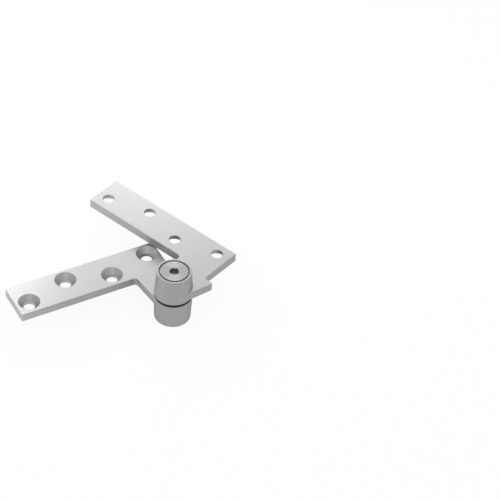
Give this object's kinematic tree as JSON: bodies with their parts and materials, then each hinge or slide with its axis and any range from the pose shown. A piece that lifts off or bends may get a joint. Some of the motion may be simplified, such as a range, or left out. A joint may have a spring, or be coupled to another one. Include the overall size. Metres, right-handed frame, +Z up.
{
  "type": "pivot hinge",
  "caption": "Offset top pivot hinge for a swing door: a frame leaf and a door leaf meet at a knuckle, joined by a pin that an adjusting screw raises and lowers.",
  "frame": {"origin": "on the pivot axis, midway between the two knuckles", "axes": "+Z up along the pivot axis, towards the header; the frame leaf's free end points along -X and its leaf lies on the +Y side of the axis"},
  "size_m": [0.1147, 0.1326, 0.0402],
  "materials": {
    "satin_plated_steel": "satin chromium plate on forged steel",
    "turned_steel": "faced on a lathe, plated",
    "ground_steel": "hardened and ground",
    "sintered_bronze": "oil-impregnated sintered bronze",
    "black_nylon": "moulded nylon"
  },
  "bodies": {
    "frame": {"frame_leaf": "satin_plated_steel", "pin_key": "ground_steel"},
    "screw": {"adjusting_screw": "turned_steel"},
    "pin": {"pivot_pin": "ground_steel"},
    "door": {"door_leaf": "satin_plated_steel", "door_bush": "sintered_bronze", "thrust_washer": "black_nylon"}
  },
  "joints": [
    {"name": "screw_turn", "type": "hinge", "parent": "frame", "child": "screw", "pos_m": [0, 0, 0.01705], "axis": [0, 0, 1], "range_deg": [-2160, 0]},
    {"name": "pin_lift", "type": "slide", "parent": "frame", "child": "pin", "axis": [0, 0, 1], "range_m": [0, 0.00953]},
    {"name": "door_swing", "type": "hinge", "parent": "frame", "child": "door", "pos_m": [0, 0, 0], "axis": [0, 0, 1], "range_deg": [-68.2, 111.8]}
  ],
  "couplings": [
    {"joint": "pin_lift", "follows": "screw_turn", "m_per_rad": -0.00025266}
  ]
}
